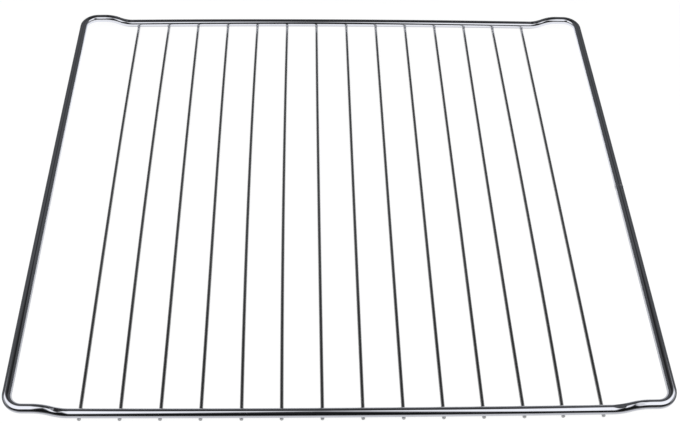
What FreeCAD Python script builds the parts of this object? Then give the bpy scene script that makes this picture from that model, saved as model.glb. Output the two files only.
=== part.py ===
import FreeCAD, Part
import math
import os

from FreeCAD import Vector

# Oven shelf rack: one thick wire bent into a frame, with a row of thin wires welded under it.
# Sizes are in millimetres. X runs across the rack, Y from front to back and Z up.
# The origin is on the surface that the rack lies on, under the middle of the rack.

# Frame, measured over the outside of its wire
overall_width = 418.5
overall_depth = 385.5
frame_wire_diameter = 6.0

# Bends of the frame wire, with radii to the middle of the wire
corner_bend_radius = 10.5
joggle_bend_radius = 18.0
ear_rise = 5.4
ear_straight = 7.5

# Butt weld that closes the frame loop, in the right side bar
butt_weld_place = -2.0
butt_weld_width = 1.8
butt_weld_height = 0.12

# Grid wires, spread evenly along the level part of the front and back bars
grid_wire_count = 14
grid_wire_diameter = 2.3
grid_edge_margin = 6.8
grid_end_setback = 0.6
weld_set_down = 0.3

# Places that follow from the sizes
frame_radius = frame_wire_diameter / 2
grid_radius = grid_wire_diameter / 2
side_bar_x = overall_width / 2 - frame_radius
cross_bar_y = overall_depth / 2 - frame_radius
cross_bar_z = grid_wire_diameter + frame_radius - weld_set_down
side_bar_z = cross_bar_z + ear_rise
joggle_angle = math.acos(1 - ear_rise / (2 * joggle_bend_radius))
joggle_run = 2 * joggle_bend_radius * math.sin(joggle_angle)
joggle_head_x = side_bar_x - corner_bend_radius - ear_straight
joggle_foot_x = joggle_head_x - joggle_run
grid_span = 2 * (joggle_foot_x - grid_edge_margin)
grid_pitch = grid_span / (grid_wire_count - 1)
grid_wire_length = overall_depth - 2 * grid_end_setback


def line(start, end):
    """Straight run of wire between two points."""
    return Part.LineSegment(start, end).toShape()


def arc(start, middle, end):
    """Bend of wire through three points."""
    return Part.Arc(start, middle, end).toShape()


def round_wire(edge, radius):
    """Solid wire of the given radius along one straight run or one bend."""
    start = edge.valueAt(edge.FirstParameter)
    end = edge.valueAt(edge.LastParameter)
    direction = edge.tangentAt(edge.FirstParameter)
    section = Part.Face(Part.Wire(Part.makeCircle(radius, start, direction)))
    if isinstance(edge.Curve, Part.Circle):
        turn = math.degrees(edge.LastParameter - edge.FirstParameter)
        return section.revolve(edge.Curve.Center, edge.Curve.Axis, turn)
    return section.extrude(end - start)


def joggle_arcs(corner):
    """Two equal arcs that lift the wire from the level bar to the ear."""
    half_turn = joggle_angle / 2
    across = joggle_bend_radius * math.sin(half_turn)
    lift = joggle_bend_radius * (1 - math.cos(half_turn))
    middle_x = (joggle_foot_x + joggle_head_x) / 2
    foot = corner(joggle_foot_x, cross_bar_y, cross_bar_z)
    lower = corner(joggle_foot_x + across, cross_bar_y, cross_bar_z + lift)
    middle = corner(middle_x, cross_bar_y, (cross_bar_z + side_bar_z) / 2)
    upper = corner(joggle_head_x - across, cross_bar_y, side_bar_z - lift)
    head = corner(joggle_head_x, cross_bar_y, side_bar_z)
    return [arc(foot, lower, middle), arc(middle, upper, head)]


def frame_quarter(x_side, y_side):
    """Runs and bends from the middle of a cross bar, round one corner, to the middle of a side bar."""
    def corner(x, y, z):
        return Vector(x_side * x, y_side * y, z)

    bend_x = side_bar_x - corner_bend_radius
    bend_y = cross_bar_y - corner_bend_radius
    reach = corner_bend_radius * math.sqrt(0.5)
    level_start = corner(0, cross_bar_y, cross_bar_z)
    level_end = corner(joggle_foot_x, cross_bar_y, cross_bar_z)
    ear_start = corner(joggle_head_x, cross_bar_y, side_bar_z)
    turn_start = corner(bend_x, cross_bar_y, side_bar_z)
    turn_middle = corner(bend_x + reach, bend_y + reach, side_bar_z)
    turn_end = corner(side_bar_x, bend_y, side_bar_z)
    side_end = corner(side_bar_x, 0, side_bar_z)
    edges = [line(level_start, level_end)]
    edges += joggle_arcs(corner)
    edges.append(line(ear_start, turn_start))
    edges.append(arc(turn_start, turn_middle, turn_end))
    edges.append(line(turn_end, side_end))
    return [round_wire(edge, frame_radius) for edge in edges]


def butt_weld():
    """Low ring of upset metal round the right side bar where the loop is closed."""
    half_width = butt_weld_width / 2
    centre = Vector(side_bar_x, butt_weld_place, side_bar_z)
    start = centre + Vector(frame_radius, -half_width, 0)
    crest = centre + Vector(frame_radius + butt_weld_height, 0, 0)
    end = centre + Vector(frame_radius, half_width, 0)
    inner_start = start - Vector(butt_weld_height, 0, 0)
    inner_end = end - Vector(butt_weld_height, 0, 0)
    outline = [arc(start, crest, end), line(end, inner_end)]
    outline += [line(inner_end, inner_start), line(inner_start, start)]
    return Part.Face(Part.Wire(outline)).revolve(centre, Vector(0, 1, 0), 360)


def frame_wire():
    """Closed loop of frame wire with its butt weld."""
    runs = []
    for x_side in (1, -1):
        for y_side in (1, -1):
            runs += frame_quarter(x_side, y_side)
    return butt_weld().multiFuse(runs).removeSplitter().Solids[0]


def grid_wire(number, frame):
    """Thin straight wire, seated against the underside of both cross bars."""
    x = (number - (grid_wire_count + 1) / 2) * grid_pitch
    front = Vector(x, -grid_wire_length / 2, grid_radius)
    rod = Part.makeCylinder(grid_radius, grid_wire_length, front, Vector(0, 1, 0))
    return rod.cut(frame).Solids[0]


frame = frame_wire()
pieces = {"frame_wire": frame}
for number in range(1, grid_wire_count + 1):
    pieces[f"grid_wire_{number:02d}"] = grid_wire(number, frame)

os.makedirs("parts", exist_ok=True)
for name, shape in pieces.items():
    shape.exportStep(f"parts/{name}.step")
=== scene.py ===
"""Oven shelf rack, dressed for its picture: a bright plated frame loop with grid rods welded under it."""

import logging
import math
from dataclasses import dataclass, field
from enum import Enum

import bpy
from mathutils import Matrix, Vector

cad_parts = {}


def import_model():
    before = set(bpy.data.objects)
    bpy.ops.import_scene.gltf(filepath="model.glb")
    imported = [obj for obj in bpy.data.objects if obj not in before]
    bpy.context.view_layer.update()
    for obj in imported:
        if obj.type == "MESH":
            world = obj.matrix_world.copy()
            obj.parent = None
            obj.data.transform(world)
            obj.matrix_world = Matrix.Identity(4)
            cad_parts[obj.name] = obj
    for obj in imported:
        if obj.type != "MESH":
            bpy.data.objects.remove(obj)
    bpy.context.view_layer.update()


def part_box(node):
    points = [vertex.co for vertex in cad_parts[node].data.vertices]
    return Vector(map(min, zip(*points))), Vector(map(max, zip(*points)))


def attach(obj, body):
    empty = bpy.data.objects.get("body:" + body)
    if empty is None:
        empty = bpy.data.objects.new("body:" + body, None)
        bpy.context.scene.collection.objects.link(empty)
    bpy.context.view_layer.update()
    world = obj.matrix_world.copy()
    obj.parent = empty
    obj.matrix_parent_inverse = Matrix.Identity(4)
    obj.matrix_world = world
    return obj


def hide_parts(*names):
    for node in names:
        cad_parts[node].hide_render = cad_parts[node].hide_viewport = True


MM = 0.001
UP = Vector((0.0, 0.0, 1.0))
BODY = "root"
FRAME_NODE = "frame_wire"
GRID_NODE = "grid_wire_{:02d}"

Term = bpy.types.NodeSocket | float

log = logging.getLogger("oven_shelf_rack")


class Slot(Enum):
    """Names of the record's material slots for the frame and for the grid."""

    FRAME = "frame_chrome"
    GRID = "grid_chrome"


class Mark(Enum):
    """Names of the mesh attributes that the plating reads."""

    RUN = "wire_run"
    WORKED = "worked"


def smooth(low: float, high: float, value: float) -> float:
    """Eases from 0 to 1 as a value goes from one limit to another.

    Args:
        low: Value at which the result starts to leave 0.
        high: Value at which the result reaches 1.
        value: Value to place between them.

    Returns:
        The eased share, from 0 to 1.
    """
    share = min(max((value - low) / (high - low), 0.0), 1.0)
    return share * share * (3.0 - 2.0 * share)


@dataclass(frozen=True)
class Station:
    """One place along the middle line of a wire."""

    place: Vector
    heading: Vector
    run: float


@dataclass
class Trail:
    """Middle line of a wire, walked stretch by stretch from a starting place."""

    place: Vector
    heading: Vector
    run: float = 0.0
    stations: list[Station] = field(default_factory=list)

    def note(self) -> None:
        """Keeps the present place as a station."""
        self.stations.append(Station(self.place.copy(), self.heading.copy(), self.run))

    def straight(self, length: float, step: float) -> None:
        """Walks straight on, with the stations evenly spaced.

        Args:
            length: Length of the stretch.
            step: Longest distance between two stations.
        """
        count = max(1, math.ceil(length / step))
        for _ in range(count):
            self.note()
            self.place = self.place + self.heading * (length / count)
            self.run += length / count

    def bend(self, axis: Vector, radius: float, angle: float, step: float) -> None:
        """Walks round an arc.

        Args:
            axis: Axis that the heading turns about.
            radius: Radius to the middle of the wire.
            angle: Turn in radians, negative for a turn the other way.
            step: Longest turn between two stations, in radians.
        """
        count = max(1, math.ceil(abs(angle) / step))
        sign = math.copysign(1.0, angle)
        centre = self.place + axis.cross(self.heading) * radius * sign
        turn = Matrix.Rotation(angle / count, 3, axis)
        for _ in range(count):
            self.note()
            self.place = centre + turn @ (self.place - centre)
            self.heading = turn @ self.heading
            self.run += radius * abs(angle) / count


@dataclass
class GroupPlan:
    """A node group under construction, with short ways to add and join its nodes."""

    tree: bpy.types.ShaderNodeTree

    def socket(self, name: str, way: str, kind: str) -> None:
        """Adds a named socket to the group.

        Args:
            name: Name of the socket.
            way: "INPUT" or "OUTPUT".
            kind: Kind of value, such as "Float" or "Color".
        """
        self.tree.interface.new_socket(name, in_out=way, socket_type="NodeSocket" + kind)

    def node(self, kind: str, **settings: object) -> bpy.types.Node:
        """Adds a node.

        Args:
            kind: Name of the node's type after "ShaderNode".
            settings: Properties of the node.

        Returns:
            The new node.
        """
        made = self.tree.nodes.new("ShaderNode" + kind)
        for name, value in settings.items():
            setattr(made, name, value)
        return made

    def math(self, operation: str, *terms: Term) -> bpy.types.NodeSocket:
        """Adds a Math node.

        Args:
            operation: Name of the operation.
            terms: Its terms, as sockets to link or plain numbers.

        Returns:
            The socket with the result.
        """
        made = self.node("Math", operation=operation)
        for slot, term in zip(made.inputs, terms):
            if isinstance(term, bpy.types.NodeSocket):
                self.tree.links.new(term, slot)
            else:
                slot.default_value = term
        return made.outputs[0]

    def spread(
        self, source: bpy.types.NodeSocket, start: tuple[Term, Term], goal: tuple[Term, Term]
    ) -> bpy.types.NodeSocket:
        """Adds an eased Map Range node.

        Args:
            source: Value to spread.
            start: Lowest and highest value that come in, as sockets or numbers.
            goal: The values that they become.

        Returns:
            The socket with the result.
        """
        made = self.node("MapRange", interpolation_type="SMOOTHSTEP")
        self.tree.links.new(source, made.inputs["Value"])
        names = ("From Min", "From Max", "To Min", "To Max")
        for name, term in zip(names, (*start, *goal)):
            if isinstance(term, bpy.types.NodeSocket):
                self.tree.links.new(term, made.inputs[name])
            else:
                made.inputs[name].default_value = term
        return made.outputs["Result"]

    def noise(self, place: bpy.types.NodeSocket, detail: float) -> bpy.types.NodeSocket:
        """Adds a Noise node with features about one unit across.

        Args:
            place: Vector that the noise is read at.
            detail: Number of finer layers.

        Returns:
            The socket with the noise, from 0 to 1.
        """
        made = self.node("TexNoise", noise_dimensions="3D")
        made.inputs["Scale"].default_value = 1.0
        made.inputs["Detail"].default_value = detail
        self.tree.links.new(place, made.inputs["Vector"])
        return made.outputs["Fac"]

    def stretched(self, place: bpy.types.NodeSocket, across: Term, along: Term) -> bpy.types.NodeSocket:
        """Divides a place on the wire by one length across it and another along it.

        Args:
            place: Vector with the place, in metres.
            across: Length across the wire in millimetres, a socket or a number.
            along: Length along the wire in millimetres, a socket or a number.

        Returns:
            The socket with the stretched place.
        """
        sizes = self.node("CombineXYZ")
        for axis, size in zip(sizes.inputs, (across, across, along)):
            self.tree.links.new(self.math("MULTIPLY", size, MM), axis)
        made = self.node("VectorMath", operation="DIVIDE")
        self.tree.links.new(place, made.inputs[0])
        self.tree.links.new(sizes.outputs[0], made.inputs[1])
        return made.outputs["Vector"]


@dataclass(frozen=True)
class WirePattern:
    """What drawing, plating and welding leave on a wire, in shares. Lengths are in millimetres."""

    name: str = "wire plating"
    streak_detail: float = 2.0
    ripple_detail: float = 1.0
    speck_detail: float = 0.0
    speck_width: float = 0.42
    speck_length: float = 0.9
    veil_share: float = 0.5
    veil_start: tuple[float, float] = (0.38, 0.68)
    veil_dullness: tuple[float, float] = (0.0, 0.35)
    scale_even: float = 0.55
    scale_specks: float = 0.6
    streak_relief: float = 0.015
    scale_relief: float = 0.12
    pit_relief: float = 0.1

    def group(self) -> bpy.types.ShaderNodeTree:
        """Builds, once, the node group for plated wire.

        It has drawing streaks along the wire, slow ripples, fine specks, and a dull scale where metal was
        welded or cut.

        Returns:
            The node group.
        """
        if self.name in bpy.data.node_groups:
            return bpy.data.node_groups[self.name]
        plan = GroupPlan(bpy.data.node_groups.new(self.name, "ShaderNodeTree"))
        for socket in ("Bright", "Dull"):
            plan.socket(socket, "INPUT", "Color")
        lengths = ("Streak Width", "Streak Length", "Ripple Length")
        for socket in ("Polish", "Haze", *lengths, "Speck Share"):
            plan.socket(socket, "INPUT", "Float")
        plan.socket("Colour", "OUTPUT", "Color")
        for socket in ("Roughness", "Height"):
            plan.socket(socket, "OUTPUT", "Float")
        links = plan.tree.links
        given = plan.tree.nodes.new("NodeGroupInput").outputs
        result = plan.tree.nodes.new("NodeGroupOutput").inputs
        run = plan.node("Attribute", attribute_name=Mark.RUN.value).outputs["Vector"]
        worked = plan.node("Attribute", attribute_name=Mark.WORKED.value).outputs["Fac"]
        drawn = plan.stretched(run, given["Streak Width"], given["Streak Length"])
        waved = plan.stretched(run, given["Ripple Length"], given["Ripple Length"])
        dotted = plan.stretched(run, self.speck_width, self.speck_length)
        streaks = plan.noise(drawn, self.streak_detail)
        ripples = plan.noise(waved, self.ripple_detail)
        specks = plan.noise(dotted, self.speck_detail)
        limit = plan.math("SUBTRACT", 1.0, given["Speck Share"])
        pits = plan.spread(specks, (limit, 1.0), (0.0, 1.0))
        grain = plan.math("ADD", self.scale_even, plan.math("MULTIPLY", specks, self.scale_specks))
        scale = plan.math("MULTIPLY", worked, grain)
        streak_part = plan.math("MULTIPLY", streaks, self.veil_share)
        ripple_part = plan.math("MULTIPLY", ripples, 1.0 - self.veil_share)
        veil = plan.spread(plan.math("ADD", streak_part, ripple_part), self.veil_start, self.veil_dullness)
        dullness = plan.math("MINIMUM", plan.math("ADD", veil, plan.math("ADD", scale, pits)), 1.0)
        tint = plan.node("Mix", data_type="RGBA")
        links.new(dullness, tint.inputs["Factor"])
        bright, dull = (socket for socket in tint.inputs if socket.type == "RGBA")
        links.new(given["Bright"], bright)
        links.new(given["Dull"], dull)
        mixed = next(socket for socket in tint.outputs if socket.type == "RGBA")
        roughness = plan.spread(dullness, (0.0, 1.0), (given["Polish"], given["Haze"]))
        relief = plan.math("ADD", ripples, plan.math("MULTIPLY", streaks, self.streak_relief))
        relief = plan.math("ADD", relief, plan.math("MULTIPLY", scale, self.scale_relief))
        relief = plan.math("SUBTRACT", relief, plan.math("MULTIPLY", pits, self.pit_relief))
        links.new(mixed, result["Colour"])
        links.new(roughness, result["Roughness"])
        links.new(relief, result["Height"])
        return plan.tree


@dataclass(frozen=True)
class Plating:
    """Bright chromium plating over drawn steel wire. Lengths are in millimetres."""

    name: str
    bright: tuple[float, float, float]
    dull: tuple[float, float, float]
    polish: float
    haze: float
    streak_width: float
    streak_length: float
    ripple_length: float
    speck_share: float
    relief: float
    pattern: WirePattern = WirePattern()

    def material(self) -> bpy.types.Material:
        """Builds the plated finish.

        Returns:
            A material with the wire plating group in front of its shader.
        """
        material = bpy.data.materials.new(self.name)
        material.use_nodes = True
        nodes = material.node_tree.nodes
        links = material.node_tree.links
        shader = nodes["Principled BSDF"]
        shader.inputs["Metallic"].default_value = 1.0
        plating = nodes.new("ShaderNodeGroup")
        plating.node_tree = self.pattern.group()
        plating.inputs["Bright"].default_value = (*self.bright, 1.0)
        plating.inputs["Dull"].default_value = (*self.dull, 1.0)
        plating.inputs["Polish"].default_value = self.polish
        plating.inputs["Haze"].default_value = self.haze
        plating.inputs["Streak Width"].default_value = self.streak_width
        plating.inputs["Streak Length"].default_value = self.streak_length
        plating.inputs["Ripple Length"].default_value = self.ripple_length
        plating.inputs["Speck Share"].default_value = self.speck_share
        bump = nodes.new("ShaderNodeBump")
        bump.inputs["Distance"].default_value = self.relief * MM
        links.new(plating.outputs["Colour"], shader.inputs["Base Color"])
        links.new(plating.outputs["Roughness"], shader.inputs["Roughness"])
        links.new(plating.outputs["Height"], bump.inputs["Height"])
        links.new(bump.outputs["Normal"], shader.inputs["Normal"])
        return material


@dataclass
class Skin:
    """Rings of points swept along a wire, with what the plating needs to know at each point."""

    places: list[Vector] = field(default_factory=list)
    runs: list[Vector] = field(default_factory=list)
    worked: list[float] = field(default_factory=list)
    faces: list[tuple[int, ...]] = field(default_factory=list)

    def point(self, place: Vector, run: Vector, worked: float) -> int:
        """Adds one point.

        Args:
            place: Where it is.
            run: Its place across and along the wire, for the plating.
            worked: How much the metal was worked there, from 0 to 1.

        Returns:
            The number of the point.
        """
        self.places.append(place)
        self.runs.append(run)
        self.worked.append(worked)
        return len(self.places) - 1

    def join(self, first: list[int], second: list[int]) -> None:
        """Adds a band of faces between two rings of the same count.

        Args:
            first: Numbers of the points of one ring.
            second: Numbers of the points of the next ring.
        """
        for i in range(len(first)):
            j = (i + 1) % len(first)
            self.faces.append((first[i], first[j], second[j], second[i]))

    def piece(self, name: str, material: bpy.types.Material, sharp: float) -> bpy.types.Object:
        """Makes the swept rings an object.

        Args:
            name: Name of the piece.
            material: Finish of the piece.
            sharp: Angle in radians above which an edge is drawn sharp.

        Returns:
            The new object.
        """
        mesh = bpy.data.meshes.new(name)
        mesh.from_pydata(self.places, [], self.faces)
        run = mesh.attributes.new(Mark.RUN.value, "FLOAT_VECTOR", "POINT")
        run.data.foreach_set("vector", [axis for place in self.runs for axis in place])
        worked = mesh.attributes.new(Mark.WORKED.value, "FLOAT", "POINT")
        worked.data.foreach_set("value", self.worked)
        mesh.materials.append(material)
        mesh.shade_smooth()
        mesh.set_sharp_from_angle(angle=sharp)
        made = bpy.data.objects.new(name, mesh)
        bpy.context.scene.collection.objects.link(made)
        return made


def settle(piece: bpy.types.Object, slot: Slot, *nodes: str) -> bpy.types.Object:
    """Puts a finished piece on the rack's body in place of its solids.

    Args:
        piece: The piece.
        slot: Material slot that its finish belongs to; not used.
        nodes: Names of the solids that it stands for.

    Returns:
        The piece.
    """
    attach(piece, BODY)
    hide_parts(*nodes)
    log.info("%s: %d faces, for %s", piece.name, len(piece.data.polygons), ", ".join(nodes))
    return piece


@dataclass(frozen=True)
class PressMark:
    """Shallow flat that the forming tool left on the frame wire, in millimetres and degrees.

    Its place is counted along the wire from the foot of the rise. A flat on the very top faces 90 degrees.
    """

    place: float
    reach: float
    depth: float
    facing: float

    def limit(self, gap: float, angle: float, radius: float) -> float:
        """Gives how far the wire reaches under the flat.

        Args:
            gap: Distance along the wire from the middle of the flat.
            angle: Angle around the wire.
            radius: Radius of the untouched wire.

        Returns:
            The distance from the middle of the wire to its skin.
        """
        share = 1.0 - smooth(0.0, self.reach * MM, abs(gap))
        lean = math.cos(angle - math.radians(self.facing))
        if share <= 0.0 or lean <= 0.0:
            return radius
        return min(radius, (radius - self.depth * MM * share) / lean)


@dataclass
class FrameLoop:
    """Thick wire bent into a closed loop, with its four corners raised above the cross bars.

    The bows, the places of the flats and the bends of the joggles are those of the photographed rack.
    """

    half_width: float
    half_depth: float
    low: float
    wire_diameter: float = 6.0 * MM
    corner_bend_radius: float = 10.5 * MM
    joggle_bend_radius: float = 24.0 * MM
    ear_rise: float = 5.4 * MM
    ear_straight: float = 5.9 * MM
    butt_weld_place: float = -5.2 * MM
    butt_weld_width: float = 1.8 * MM
    butt_weld_height: float = 0.12 * MM
    back_right_marks: tuple[PressMark, ...] = (PressMark(3.0, 5.0, 0.5, 96.0),)
    back_left_marks: tuple[PressMark, ...] = (PressMark(3.0, 5.0, 0.5, 96.0),)
    front_left_marks: tuple[PressMark, ...] = (
        PressMark(8.8, 7.2, 0.46, 84.4),
        PressMark(12.3, 3.0, 0.14, 79.0),
    )
    front_right_marks: tuple[PressMark, ...] = (
        PressMark(6.1, 7.8, 0.73, 101.5),
        PressMark(9.0, 2.5, 0.34, 82.0),
        PressMark(17.9, 6.1, 0.33, 66.2),
    )
    side_bow: float = 0.4 * MM
    front_bow: float = 1.25 * MM
    front_draw: float = 0.6 * MM
    back_bow: float = 2.6 * MM
    back_draw: float = 1.25 * MM
    sides: int = 80
    weld_step: float = 0.15 * MM
    ear_step: float = 1.0 * MM
    cross_bar_step: float = 2.0 * MM
    side_bar_step: float = 6.0 * MM
    joggle_step: float = math.radians(1.6)
    corner_step: float = math.radians(2.5)
    sharp_edge: float = math.radians(60.0)
    marks: list[tuple[float, PressMark]] = field(default_factory=list)

    @classmethod
    def from_frame(cls, node: str) -> "FrameLoop":
        """Takes the loop's outer sizes from its solid.

        Args:
            node: Name of the solid.

        Returns:
            The loop.
        """
        low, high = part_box(node)
        return cls(half_width=-low.x, half_depth=high.y, low=low.z)

    @property
    def radius(self) -> float:
        """Radius of the wire."""
        return self.wire_diameter / 2.0

    @property
    def side_bar_x(self) -> float:
        """Distance from the middle of the rack to the middle of a side bar."""
        return self.half_width - self.radius

    @property
    def cross_bar_y(self) -> float:
        """Distance from the middle of the rack to the middle of a cross bar."""
        return self.half_depth - self.radius

    @property
    def cross_bar_z(self) -> float:
        """Height of the middle of the cross bars."""
        return self.low + self.radius

    @property
    def joggle_angle(self) -> float:
        """Slope of the wire halfway up to an ear."""
        return math.acos(1.0 - self.ear_rise / (2.0 * self.joggle_bend_radius))

    @property
    def joggle_foot_x(self) -> float:
        """Where the level part of a cross bar ends."""
        run = 2.0 * self.joggle_bend_radius * math.sin(self.joggle_angle)
        return self.side_bar_x - self.corner_bend_radius - self.ear_straight - run

    def sprung(self, place: Vector) -> Vector:
        """Moves a place to where the bars, bowed out in the middle and drawn in at the ends, carry it.

        Args:
            place: Place on the even rack.

        Returns:
            The place on the bowed rack.
        """
        across = place.x / self.side_bar_x
        along = place.y / self.cross_bar_y
        bow, draw = self.front_bow, self.front_draw
        if along > 0.0:
            bow, draw = self.back_bow, self.back_draw
        shift_x = self.side_bow * across * (1.0 - along ** 2)
        shift_y = along * (bow * (1.0 - across ** 2) - draw)
        return place + Vector((shift_x, shift_y, 0.0))

    def joggle(self, trail: Trail, rising: bool, marks: tuple[PressMark, ...]) -> None:
        """Walks the two bends between a cross bar and an ear.

        Args:
            trail: The middle line so far.
            rising: Whether the wire goes up to the ear.
            marks: Flats on these bends, placed from the foot of the rise.
        """
        axis = trail.heading.cross(UP)
        turn = self.joggle_angle if rising else -self.joggle_angle
        length = 2.0 * self.joggle_bend_radius * self.joggle_angle
        for mark in marks:
            climb = mark.place * MM if rising else length - mark.place * MM
            self.marks.append((trail.run + climb, mark))
        trail.bend(axis, self.joggle_bend_radius, turn, self.joggle_step)
        trail.bend(axis, self.joggle_bend_radius, -turn, self.joggle_step)

    def corner(self, trail: Trail) -> None:
        """Walks the quarter turn of a corner."""
        trail.bend(UP, self.corner_bend_radius, math.pi / 2.0, self.corner_step)

    def cross_bar(self, trail: Trail, first: tuple[PressMark, ...], last: tuple[PressMark, ...]) -> None:
        """Walks from one corner along a cross bar to the next corner.

        Args:
            trail: The middle line so far.
            first: Flats on the joggle down to the bar.
            last: Flats on the joggle up from the bar.
        """
        trail.straight(self.ear_straight, self.ear_step)
        self.joggle(trail, False, first)
        trail.straight(2.0 * self.joggle_foot_x, self.cross_bar_step)
        self.joggle(trail, True, last)
        trail.straight(self.ear_straight, self.ear_step)

    def trail(self) -> Trail:
        """Walks the whole loop, from the butt weld round to it again.

        Returns:
            The middle line of the wire.
        """
        side_z = self.cross_bar_z + self.ear_rise
        start = Vector((self.side_bar_x, self.butt_weld_place, side_z))
        trail = Trail(start, Vector((0.0, 1.0, 0.0)))
        weld_zone = 2.0 * self.butt_weld_width
        straight_end = self.cross_bar_y - self.corner_bend_radius
        trail.straight(weld_zone, self.weld_step)
        trail.straight(straight_end - self.butt_weld_place - weld_zone, self.side_bar_step)
        self.corner(trail)
        self.cross_bar(trail, self.back_right_marks, self.back_left_marks)
        self.corner(trail)
        trail.straight(2.0 * straight_end, self.side_bar_step)
        self.corner(trail)
        self.cross_bar(trail, self.front_left_marks, self.front_right_marks)
        self.corner(trail)
        trail.straight(straight_end + self.butt_weld_place - weld_zone, self.side_bar_step)
        trail.straight(weld_zone, self.weld_step)
        return trail

    def build(self, material: bpy.types.Material) -> bpy.types.Object:
        """Sweeps the wire round its loop.

        Args:
            material: Finish of the loop.

        Returns:
            The new object.
        """
        trail = self.trail()
        skin = Skin()
        rings = []
        for station in trail.stations:
            rings.append(self.ring(skin, station, min(station.run, trail.run - station.run)))
        for first, second in zip(rings, rings[1:] + rings[:1]):
            skin.join(first, second)
        return skin.piece("frame_loop", material, self.sharp_edge)

    def ring(self, skin: Skin, station: Station, from_weld: float) -> list[int]:
        """Adds one ring of the loop's skin.

        Args:
            skin: Skin that the ring joins.
            station: Where the ring is.
            from_weld: Distance along the wire to the butt weld.

        Returns:
            The numbers of the ring's points.
        """
        outward = station.heading.cross(UP).normalized()
        over = outward.cross(station.heading)
        widest = self.radius + self.butt_weld_height
        bead = 1.0 - smooth(0.0, self.butt_weld_width / 2.0, from_weld)
        scale = 1.0 - smooth(self.butt_weld_width / 2.0, 2.0 * self.butt_weld_width, from_weld)
        ring = []
        for k in range(self.sides):
            angle = 2.0 * math.pi * k / self.sides
            reach = self.radius + self.butt_weld_height * bead
            for run, mark in self.marks:
                reach = min(reach, mark.limit(station.run - run, angle, widest))
            across = outward * math.cos(angle) + over * math.sin(angle)
            flow = Vector((math.cos(angle) * self.radius, math.sin(angle) * self.radius, station.run))
            ring.append(skin.point(self.sprung(station.place + across * reach), flow, scale))
        return ring


@dataclass(frozen=True)
class RodShape:
    """How one grid rod strays from a straight, even place, in millimetres to the right."""

    front: float = 0.0
    back: float = 0.0
    bow: float = 0.0
    bow_peak: float = 0.5

    def stray(self, share: float) -> float:
        """Gives the rod's stray at one place.

        Args:
            share: Share of the way from front to back.

        Returns:
            The stray in millimetres.
        """
        power = math.log(0.5) / math.log(self.bow_peak)
        bent = share ** power
        return self.front + (self.back - self.front) * share + self.bow * 4.0 * bent * (1.0 - bent)


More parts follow.
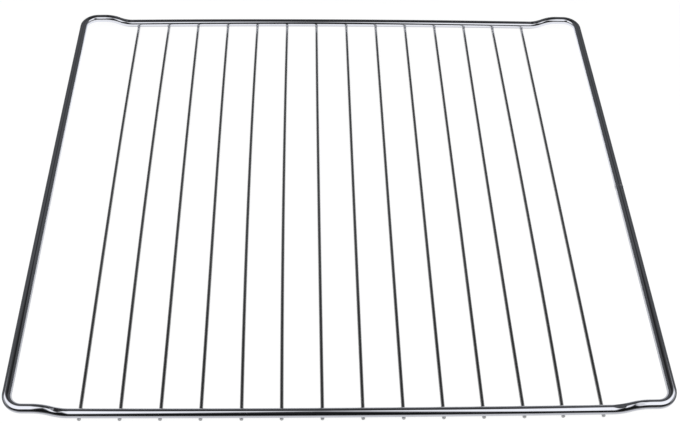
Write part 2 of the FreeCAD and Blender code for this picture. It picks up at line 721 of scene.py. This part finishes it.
@dataclass
class GridRod:
    """Thin rod welded under both cross bars."""

    node: str
    loop: FrameLoop
    shape: RodShape
    weld_reach: float = 2.4 * MM
    weld_core: float = 0.6 * MM
    weld_upset: float = 0.32 * MM
    weld_slope: tuple[float, float] = (-0.1, 0.7)
    weld_scale: float = 0.7
    seat_bite: float = 0.03 * MM
    end_round: float = 0.2 * MM
    end_scale: float = 0.6 * MM
    shear_zone: float = 1.5 * MM
    shear_lean: float = 0.10
    sides: int = 32
    fine_zone: float = 8.0 * MM
    fine_step: float = 0.2 * MM
    coarse_step: float = 6.0 * MM
    sharp_edge: float = math.radians(50.0)
    pattern_shift: float = 10.0

    def stations(self, half_length: float) -> list[float]:
        """Places the rings along the rod, close together near its ends.

        Args:
            half_length: Half of the rod's length.

        Returns:
            The Y of each ring, from front to back.
        """
        steps = math.ceil(self.fine_zone / self.fine_step)
        near = [half_length - self.fine_zone * i / steps for i in range(steps + 1)]
        inner = half_length - self.fine_zone
        count = math.ceil(2.0 * inner / self.coarse_step)
        middle = [-inner + 2.0 * inner * i / count for i in range(1, count)]
        return [-y for y in near] + middle + near[::-1]

    def collar(self, place: Vector, slope: float) -> float:
        """Gives how far the weld swells the rod towards the bar.

        Args:
            place: Place on the rod's skin.
            slope: Upward share of the skin's direction there.

        Returns:
            The swelling.
        """
        gap = abs(abs(place.y) - self.loop.cross_bar_y)
        window = 1.0 - smooth(0.0, self.weld_reach, gap)
        return self.weld_upset * window * smooth(*self.weld_slope, slope)

    def seat(self, place: Vector) -> Vector:
        """Keeps a point of the rod under the round of the bar that it is welded to.

        Args:
            place: Place on the rod's skin.

        Returns:
            The place, lowered where the bar is in its way.
        """
        off = abs(place.y) - self.loop.cross_bar_y
        if abs(off) >= self.loop.radius:
            return place
        roof = self.loop.cross_bar_z - math.sqrt(self.loop.radius ** 2 - off ** 2)
        return Vector((place.x, place.y, min(place.z, roof + self.seat_bite)))

    def build(self, material: bpy.types.Material) -> bpy.types.Object:
        """Sweeps the rod from front to back.

        Args:
            material: Finish of the rod.

        Returns:
            The new object.
        """
        low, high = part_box(self.node)
        radius = (high.x - low.x) / 2.0
        middle_x = (low.x + high.x) / 2.0
        middle_z = low.z + radius
        half_length = high.y
        skin = Skin()
        rings = []
        for y in self.stations(half_length):
            x = middle_x + self.shape.stray((y + half_length) / (2.0 * half_length)) * MM
            from_end = half_length - abs(y)
            rounding = max(0.0, 1.0 - from_end / self.end_round)
            ring_radius = radius - self.end_round * (1.0 - math.sqrt(max(0.0, 1.0 - rounding ** 2)))
            from_weld = abs(abs(y) - self.loop.cross_bar_y)
            near_weld = 1.0 - smooth(self.weld_core, self.weld_reach, from_weld)
            worked = max(self.weld_scale * near_weld, 1.0 - smooth(0.0, self.end_scale, from_end))
            rings.append(self.ring(skin, Vector((x, y, middle_z)), ring_radius, from_end, worked))
        for first, second in zip(rings, rings[1:]):
            skin.join(first, second)
        skin.faces.append(tuple(rings[0][::-1]))
        skin.faces.append(tuple(rings[-1]))
        return skin.piece(self.node.replace("wire", "rod"), material, self.sharp_edge)

    def ring(self, skin: Skin, middle: Vector, radius: float, from_end: float, worked: float) -> list[int]:
        """Adds one ring of the rod's skin.

        Args:
            skin: Skin that the ring joins.
            middle: Middle of the ring.
            radius: Radius of the rod there.
            from_end: Distance to the nearer end of the rod.
            worked: How much the metal was worked there.

        Returns:
            The numbers of the ring's points.
        """
        ring = []
        end_share = 1.0 - smooth(0.0, self.shear_zone, from_end)
        for k in range(self.sides):
            angle = -2.0 * math.pi * k / self.sides
            rise = math.sin(angle)
            reach = radius + self.collar(middle, rise)
            place = middle + Vector((math.cos(angle), 0.0, rise)) * reach
            place.y += math.copysign(self.shear_lean * end_share * (place.z - middle.z), middle.y)
            along = middle.y + middle.x * self.pattern_shift
            run = Vector((math.cos(angle) * radius, rise * radius, along))
            ring.append(skin.point(self.loop.sprung(self.seat(place)), run, worked))
        return ring


@dataclass
class Studio:
    """Pale floor, soft light from above and a camera at the picture's angle. Sizes are in metres."""

    half_width: float
    half_depth: float

    # Floor, and its glow as the wires mirror it: a painted reflection, darker at the front, brighter at
    # the back, cut off a little outside the rack, and dimmed near the wires by painted contact shade
    floor_half: float = 8.0
    floor_albedo: float = 0.20
    floor_glow: float = 0.93
    table_side_end: tuple[float, float] = (0.003, 0.016)
    table_cross_end: tuple[float, float] = (0.013, 0.026)
    table_fade: tuple[float, float] = (-0.14, 0.14)
    table_shares: tuple[float, float] = (0.68, 1.12)
    # Painted contact shade: the mirrored floor glow dims where a glossy ray reaches the floor within a few
    # millimetres
    contact: tuple[float, float] = (0.001, 0.0062)
    contact_share: float = 0.1
    contact_end: tuple[float, float] = (-0.002, 0.0)

    # Soft light over the rack
    light_low: tuple[float, float, float] = (-1.7, -1.25, 0.62)
    light_high: tuple[float, float, float] = (1.7, 0.40, 0.62)
    light_level: float = 1.27
    light_rest: tuple[float, float] = (0.021, 0.057)
    light_rest_wing: tuple[float, float] = (0.15, 0.4)
    light_wing: tuple[float, float] = (0.9, 1.7)
    light_wing_share: float = 0.35
    light_back: tuple[float, float] = (-0.06, 0.09)
    light_back_wing: tuple[float, float] = (0.21, 0.42)
    light_far: float = 0.22
    light_far_wing: tuple[float, float] = (0.45, 0.8)
    light_front: tuple[float, float] = (-1.06, -0.82)
    light_edge: float = 0.11

    # Dark gap in the soft light
    gap_x: float = -0.005
    gap_lean: float = 0.05
    gap_tip: float = -0.12
    gap_flare: float = 0.46
    gap_edge: float = 0.115
    gap_share: float = 0.02

    # Dim room
    sky_tint: tuple[float, float, float] = (0.96, 0.98, 1.0)
    sky_front: float = 0.01
    sky_turn: tuple[float, float] = (-0.3, 0.2)
    sky_low: tuple[float, float] = (0.13, 0.10)
    sky_low_wing: tuple[float, float] = (0.12, 0.4)
    sky_high: float = 0.02
    sky_rise: tuple[float, float] = (0.35, 0.95)
    sky_wing: float = 0.065
    sky_wing_start: tuple[float, float] = (0.1, 0.35)
    sky_wing_rise: tuple[float, float] = (0.45, 0.7)
    sky_side: float = 0.36
    sky_side_start: tuple[float, float] = (0.86, 0.99)

    # Camera
    camera_place: tuple[float, float, float] = (-0.02366, -0.54944, 0.59181)
    camera_aim: tuple[float, float, float] = (0.00225, -0.01985, 0.0)
    camera_roll: float = 2.026
    camera_lens: float = 58.09
    camera_sensor: float = 36.0
    camera_clip: tuple[float, float] = (0.05, 50.0)

    def plane(
        self,
        name: str,
        low: tuple[float, float, float],
        high: tuple[float, float, float],
        material: bpy.types.Material,
    ) -> bpy.types.Object:
        """Makes a level rectangle that isn't part of the rack.

        Args:
            name: Name of the rectangle.
            low: Corner with the lowest X and Y.
            high: Corner with the highest X and Y.
            material: Its material.

        Returns:
            The new object.
        """
        mesh = bpy.data.meshes.new(name)
        corners = [low, (high[0], low[1], low[2]), high, (low[0], high[1], low[2])]
        mesh.from_pydata(corners, [], [(0, 1, 2, 3)])
        mesh.materials.append(material)
        made = bpy.data.objects.new(name, mesh)
        bpy.context.scene.collection.objects.link(made)
        log.info("%s: stage", name)
        return made

    def floor(self) -> None:
        """Lays the pale floor, which shows white and keeps the rack's shadow; its glow in the wires'
        reflections is painted, shaped by place and dimmed near the wires as painted contact shade.
        """
        material = bpy.data.materials.new("pale floor")
        material.use_nodes = True
        tree = material.node_tree
        tree.nodes.clear()
        path = tree.nodes.new("ShaderNodeLightPath")
        plan = GroupPlan(tree)
        axes = plan.node("SeparateXYZ")
        tree.links.new(plan.node("TexCoord").outputs["Object"], axes.inputs[0])
        beside = plan.math("SUBTRACT", plan.math("ABSOLUTE", axes.outputs["X"]), self.half_width)
        beyond = plan.math("SUBTRACT", plan.math("ABSOLUTE", axes.outputs["Y"]), self.half_depth)
        outside = plan.math("MAXIMUM", beside, beyond)
        # Painted reflection: the share of the floor's glow that the wires mirror, darker at the front,
        # brighter at the back and cut off a little outside the rack
        fade = plan.spread(axes.outputs["Y"], self.table_fade, self.table_shares)
        ends = plan.spread(beyond, self.table_cross_end, (1.0, 0.0))
        ends = plan.math("MULTIPLY", ends, plan.spread(beside, self.table_side_end, (1.0, 0.0)))
        painted_reflection = plan.math("MULTIPLY", fade, ends)
        # Painted contact shade: the mirrored floor glow is dimmed near the wires, but not outside the
        # rack's footprint
        near = plan.spread(path.outputs["Ray Length"], self.contact, (self.contact_share, 1.0))
        shade = plan.math("MAXIMUM", near, plan.spread(outside, self.contact_end, (0.0, 1.0)))
        painted_reflection = plan.math("MULTIPLY", painted_reflection, shade)
        mirrored = plan.math("MULTIPLY", path.outputs["Is Glossy Ray"], painted_reflection)
        seen = plan.math("MAXIMUM", path.outputs["Is Camera Ray"], path.outputs["Is Transmission Ray"])
        seen = plan.math("MAXIMUM", seen, mirrored)
        glow = plan.node("Emission")
        tree.links.new(plan.math("MULTIPLY", seen, self.floor_glow), glow.inputs["Strength"])
        paper = plan.node("BsdfDiffuse")
        paper.inputs["Color"].default_value = (*(self.floor_albedo,) * 3, 1.0)
        both = plan.node("AddShader")
        tree.links.new(paper.outputs[0], both.inputs[0])
        tree.links.new(glow.outputs[0], both.inputs[1])
        output = plan.node("OutputMaterial")
        tree.links.new(both.outputs[0], output.inputs["Surface"])
        half = self.floor_half
        self.plane("floor", (-half, -half, 0.0), (half, half, 0.0), material)

    def light(self) -> None:
        """Hangs the soft light over the rack, with a dark gap in front that widens towards the camera."""
        material = bpy.data.materials.new("soft light")
        material.use_nodes = True
        tree = material.node_tree
        tree.nodes.clear()
        plan = GroupPlan(tree)
        axes = plan.node("SeparateXYZ")
        tree.links.new(plan.node("TexCoord").outputs["Object"], axes.inputs[0])
        across, along = axes.outputs["X"], axes.outputs["Y"]
        ahead = plan.math("MAXIMUM", plan.math("SUBTRACT", self.gap_tip, along), 0.0)
        leaning = plan.math("ADD", across, plan.math("MULTIPLY", ahead, self.gap_lean))
        aside = plan.math("ABSOLUTE", plan.math("SUBTRACT", leaning, self.gap_x))
        clear = plan.math("SUBTRACT", aside, plan.math("MULTIPLY", ahead, self.gap_flare))
        side = plan.math("ABSOLUTE", across)
        gap = plan.spread(clear, (-self.gap_edge, self.gap_edge), (self.gap_share, 1.0))
        middle = plan.spread(side, self.light_back_wing, self.light_back)
        edge = plan.math("ADD", middle, plan.spread(side, self.light_far_wing, (0.0, self.light_far)))
        rest = plan.spread(side, self.light_rest_wing, self.light_rest)
        past = plan.math("SUBTRACT", along, edge)
        behind = plan.spread(past, (-self.light_edge, self.light_edge), (1.0, rest))
        front = plan.spread(along, self.light_front, (0.0, 1.0))
        wing = plan.spread(side, self.light_wing, (1.0, self.light_wing_share))
        ends = plan.math("MULTIPLY", plan.math("MULTIPLY", front, wing), behind)
        share = plan.math("MULTIPLY", gap, ends)
        glow = plan.node("Emission")
        tree.links.new(plan.math("MULTIPLY", share, self.light_level), glow.inputs["Strength"])
        output = plan.node("OutputMaterial")
        tree.links.new(glow.outputs[0], output.inputs["Surface"])
        made = self.plane("soft_light", self.light_low, self.light_high, material)
        made.visible_camera = False

    def sky(self) -> None:
        """Sets the dim room: dark in front, paler low at the back, and lit from both sides."""
        world = bpy.data.worlds.new("dim room")
        world.use_nodes = True
        tree = world.node_tree
        plan = GroupPlan(tree)
        axes = plan.node("SeparateXYZ")
        tree.links.new(plan.node("TexCoord").outputs["Generated"], axes.inputs[0])
        aside = plan.math("ABSOLUTE", axes.outputs["X"])
        low = plan.spread(aside, self.sky_low_wing, self.sky_low)
        back = plan.spread(axes.outputs["Z"], self.sky_rise, (low, self.sky_high))
        room = plan.spread(axes.outputs["Y"], self.sky_turn, (self.sky_front, back))
        wings = plan.spread(aside, self.sky_wing_start, (0.0, self.sky_wing))
        risen = plan.spread(axes.outputs["Z"], self.sky_wing_rise, (0.0, 1.0))
        wings = plan.math("MULTIPLY", wings, risen)
        sides = plan.spread(aside, self.sky_side_start, (0.0, self.sky_side))
        total = plan.math("ADD", room, plan.math("ADD", wings, sides))
        background = tree.nodes["Background"]
        background.inputs["Color"].default_value = (*self.sky_tint, 1.0)
        tree.links.new(total, background.inputs["Strength"])
        bpy.context.scene.world = world

    def camera(self) -> None:
        """Sets up the camera at the picture's place and angle."""
        lens = bpy.data.cameras.new("camera")
        lens.sensor_width = self.camera_sensor
        lens.lens = self.camera_lens
        lens.clip_start, lens.clip_end = self.camera_clip
        made = bpy.data.objects.new("camera", lens)
        bpy.context.scene.collection.objects.link(made)
        place = Vector(self.camera_place)
        ahead = (Vector(self.camera_aim) - place).normalized()
        level = ahead.cross(UP).normalized()
        right = Matrix.Rotation(math.radians(-self.camera_roll), 3, ahead) @ level
        above = right.cross(ahead)
        turn = Matrix((right, above, -ahead)).transposed()
        made.matrix_world = Matrix.Translation(place) @ turn.to_4x4()
        bpy.context.scene.camera = made

    def build(self) -> None:
        """Sets up the floor, the light, the room and the camera."""
        self.floor()
        self.light()
        self.sky()
        self.camera()
        bpy.context.scene.view_settings.view_transform = "Standard"


FRAME_PLATING = Plating(
    name="frame plating",
    bright=(0.715, 0.73, 0.79),
    dull=(0.57, 0.58, 0.625),
    polish=0.05,
    haze=0.34,
    streak_width=0.35,
    streak_length=26.0,
    ripple_length=16.0,
    speck_share=0.26,
    relief=0.02,
)

GRID_PLATING = Plating(
    name="grid plating",
    bright=(0.60, 0.605, 0.615),
    dull=(0.60, 0.605, 0.61),
    polish=0.08,
    haze=0.38,
    streak_width=0.25,
    streak_length=18.0,
    ripple_length=9.0,
    speck_share=0.26,
    relief=0.008,
)

ROD_SHAPES = (
    RodShape(front=0.35, back=-0.5, bow=-0.75, bow_peak=0.6),
    RodShape(front=0.2, back=-0.25, bow=-1.1),
    RodShape(front=0.0, back=-0.6, bow=-0.5, bow_peak=0.6),
    RodShape(front=-0.2, back=-0.5, bow=-0.5, bow_peak=0.65),
    RodShape(front=0.0, back=-0.55, bow=-1.4),
    RodShape(front=-0.2, back=-0.4, bow=-0.85),
    RodShape(back=-0.55, bow=-0.25, bow_peak=0.6),
    RodShape(front=0.25, back=-0.2),
    RodShape(front=0.4, back=-0.2),
    RodShape(front=0.4, back=-0.25, bow=0.1),
    RodShape(front=0.45, back=-0.15, bow=0.2),
    RodShape(front=0.75, back=-0.05, bow=-0.55),
    RodShape(back=-0.5, bow=0.95, bow_peak=0.3),
    RodShape(front=0.45, back=-0.6, bow=-0.1, bow_peak=0.6),
)


def main() -> None:
    """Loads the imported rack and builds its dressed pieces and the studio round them."""
    logging.basicConfig(level=logging.INFO, format="%(message)s")
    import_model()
    loop = FrameLoop.from_frame(FRAME_NODE)
    settle(loop.build(FRAME_PLATING.material()), Slot.FRAME, FRAME_NODE)
    grid_finish = GRID_PLATING.material()
    for number, shape in enumerate(ROD_SHAPES, start=1):
        rod = GridRod(GRID_NODE.format(number), loop, shape)
        settle(rod.build(grid_finish), Slot.GRID, rod.node)
    Studio(loop.half_width, loop.half_depth).build()


if __name__ == "__main__":
    main()
